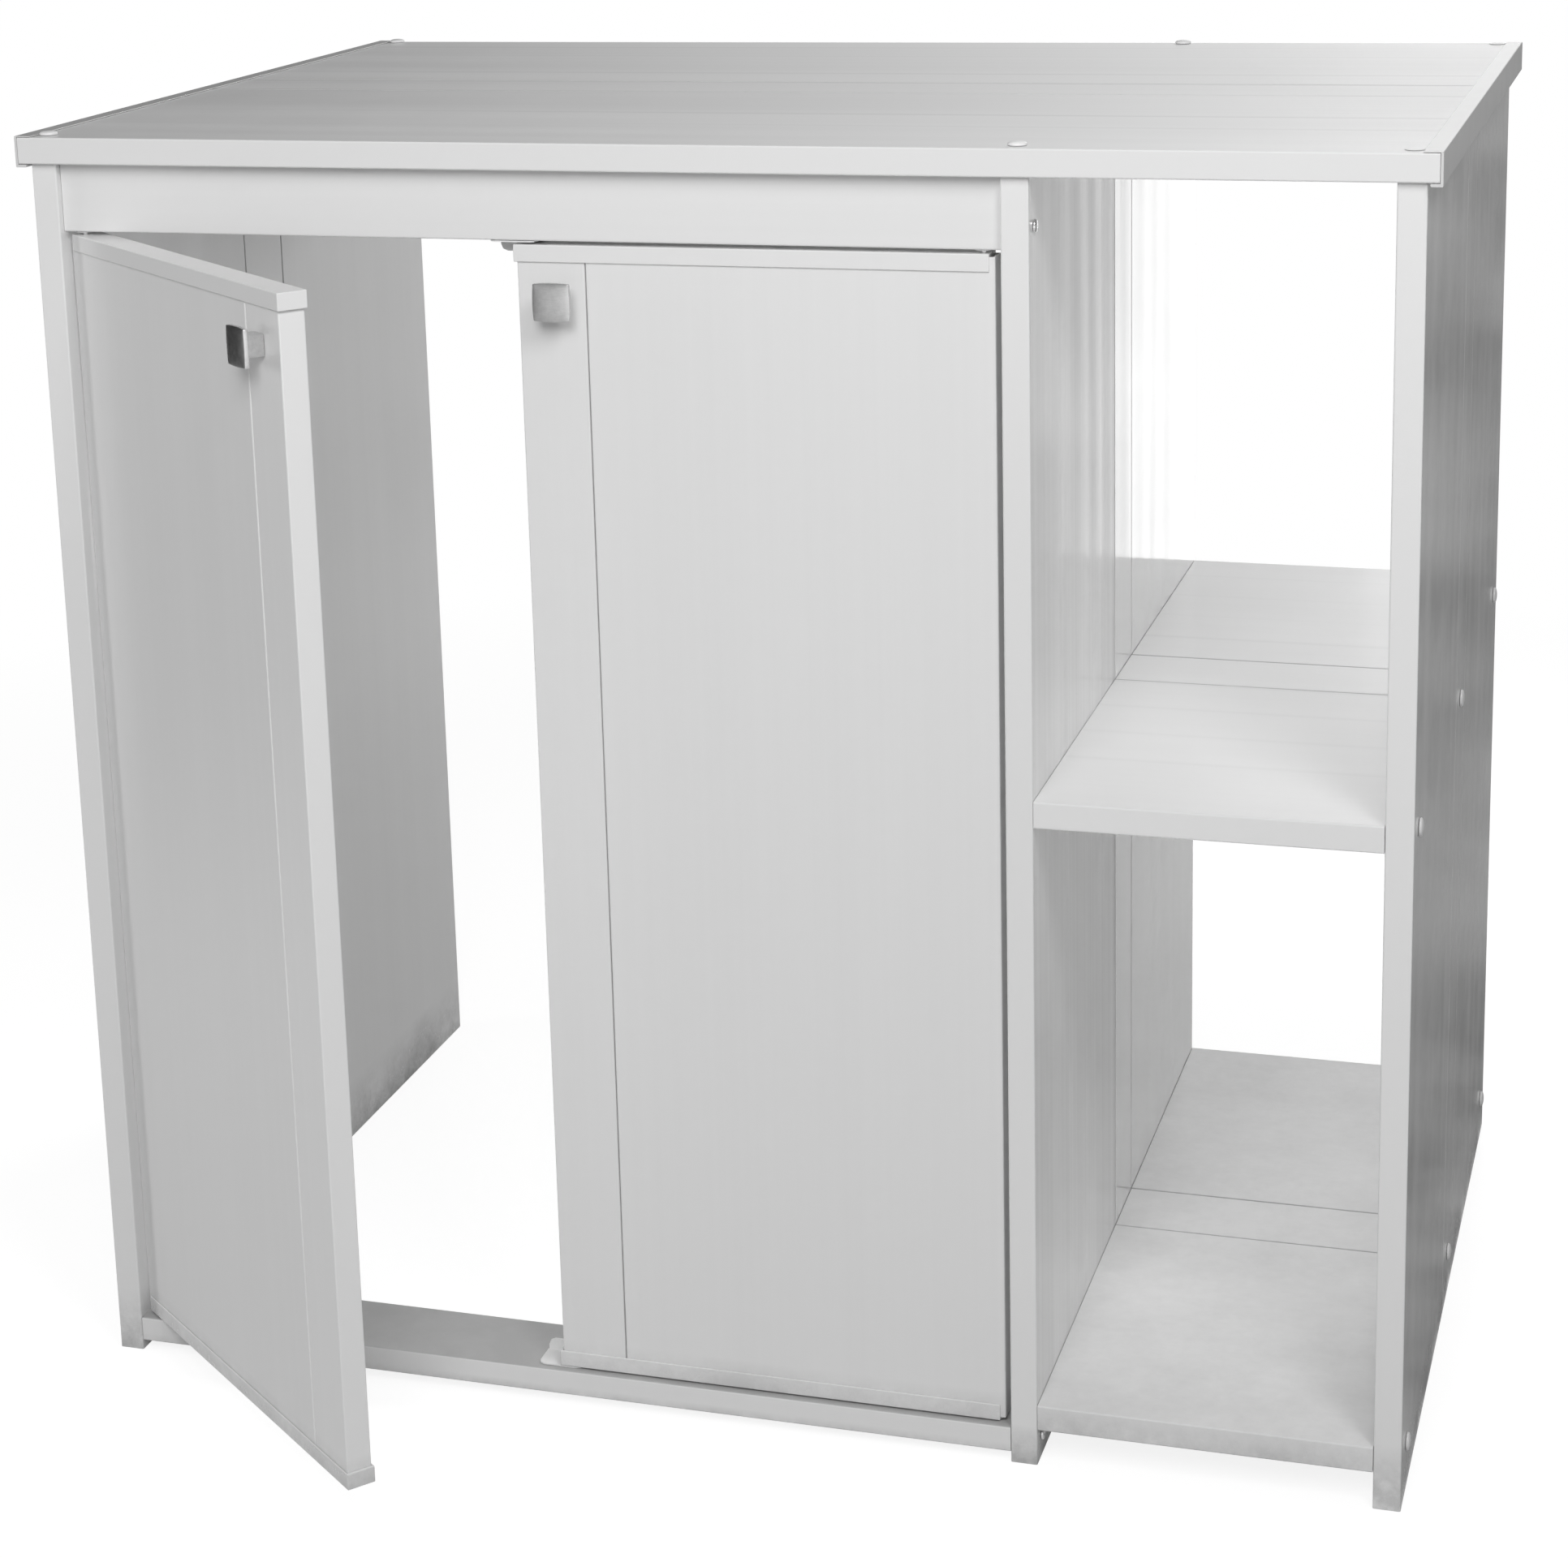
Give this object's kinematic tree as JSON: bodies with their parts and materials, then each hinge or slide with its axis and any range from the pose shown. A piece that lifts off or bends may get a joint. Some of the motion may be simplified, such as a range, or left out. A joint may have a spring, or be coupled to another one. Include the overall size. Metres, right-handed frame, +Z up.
{
  "type": "washing machine cabinet",
  "caption": "White plastic plank cabinet for a washing machine: two hinged doors with square metal knobs, open shelf column on the right, overhanging top with screw caps.",
  "frame": {"origin": "the floor under the middle of the cabinet's box at rest, with the left door open as in the picture", "axes": "+X to the right as seen from the front, +Y from the front to the back, +Z up"},
  "size_m": [0.995, 0.8694, 0.9421],
  "materials": {
    "white_plank": "satin off-white extruded plastic with faint lengthwise streaks",
    "white_trim": "smooth white plastic channel",
    "white_moulding": "smooth white moulded plastic",
    "satin_metal": "satin nickel colour, finely brushed",
    "bright_steel": "bright zinc plated steel"
  },
  "bodies": {
    "cabinet": {"bottom_rail": "white_plank", "bottom_shelf_front_plank": "white_plank", "bottom_shelf_front_screw": "white_moulding", "bottom_shelf_joint_plank": "white_plank", "bottom_shelf_joint_screw": "white_moulding", "bottom_shelf_rear_plank": "white_plank", "bottom_shelf_rear_screw": "white_moulding", "divider_front_plank": "white_plank", "divider_joint_plank": "white_plank", "divider_rear_plank": "white_plank", "fascia": "white_plank", "fascia_left_screw": "bright_steel", "fascia_right_screw": "bright_steel", "left_lower_bush": "white_moulding", "left_side_front_plank": "white_plank", "left_side_joint_plank": "white_plank", "left_side_rear_plank": "white_plank", "left_upper_bush": "white_moulding", "lower_door_stop": "white_moulding", "middle_shelf_front_plank": "white_plank", "middle_shelf_front_screw": "white_moulding", "middle_shelf_joint_plank": "white_plank", "middle_shelf_joint_screw": "white_moulding", "middle_shelf_rear_plank": "white_plank", "middle_shelf_rear_screw": "white_moulding", "rail_left_screw": "bright_steel", "rail_right_screw": "bright_steel", "right_lower_bush": "white_moulding", "right_side_front_plank": "white_plank", "right_side_joint_plank": "white_plank", "right_side_rear_plank": "white_plank", "right_upper_bush": "white_moulding", "top_front_plank": "white_plank", "top_joint_plank": "white_plank", "top_left_cap": "white_trim", "top_left_front_screw": "white_moulding", "top_left_rear_screw": "white_moulding", "top_middle_front_screw": "white_moulding", "top_middle_rear_screw": "white_moulding", "top_rear_plank": "white_plank", "top_right_cap": "white_trim", "top_right_front_screw": "white_moulding", "top_right_rear_screw": "white_moulding", "upper_door_stop": "white_moulding"},
    "left_door": {"left_door_bottom_cap": "white_trim", "left_door_knob": "satin_metal", "left_door_knob_screw": "bright_steel", "left_door_lower_pin": "bright_steel", "left_door_narrow_plank": "white_plank", "left_door_top_cap": "white_trim", "left_door_upper_pin": "bright_steel", "left_door_wide_plank": "white_plank"},
    "right_door": {"right_door_bottom_cap": "white_trim", "right_door_knob": "satin_metal", "right_door_knob_screw": "bright_steel", "right_door_lower_pin": "bright_steel", "right_door_narrow_plank": "white_plank", "right_door_top_cap": "white_trim", "right_door_upper_pin": "bright_steel", "right_door_wide_plank": "white_plank"}
  },
  "joints": [
    {"name": "left_door_hinge", "type": "hinge", "parent": "cabinet", "child": "left_door", "pos_m": [-0.45625, -0.21805, 0.45], "axis": [0, 0, -1], "range_deg": [-39.5, 60.5]},
    {"name": "right_door_hinge", "type": "hinge", "parent": "cabinet", "child": "right_door", "pos_m": [0.20075, -0.21805, 0.45], "axis": [0, 0, 1], "range_deg": [0, 100]}
  ]
}
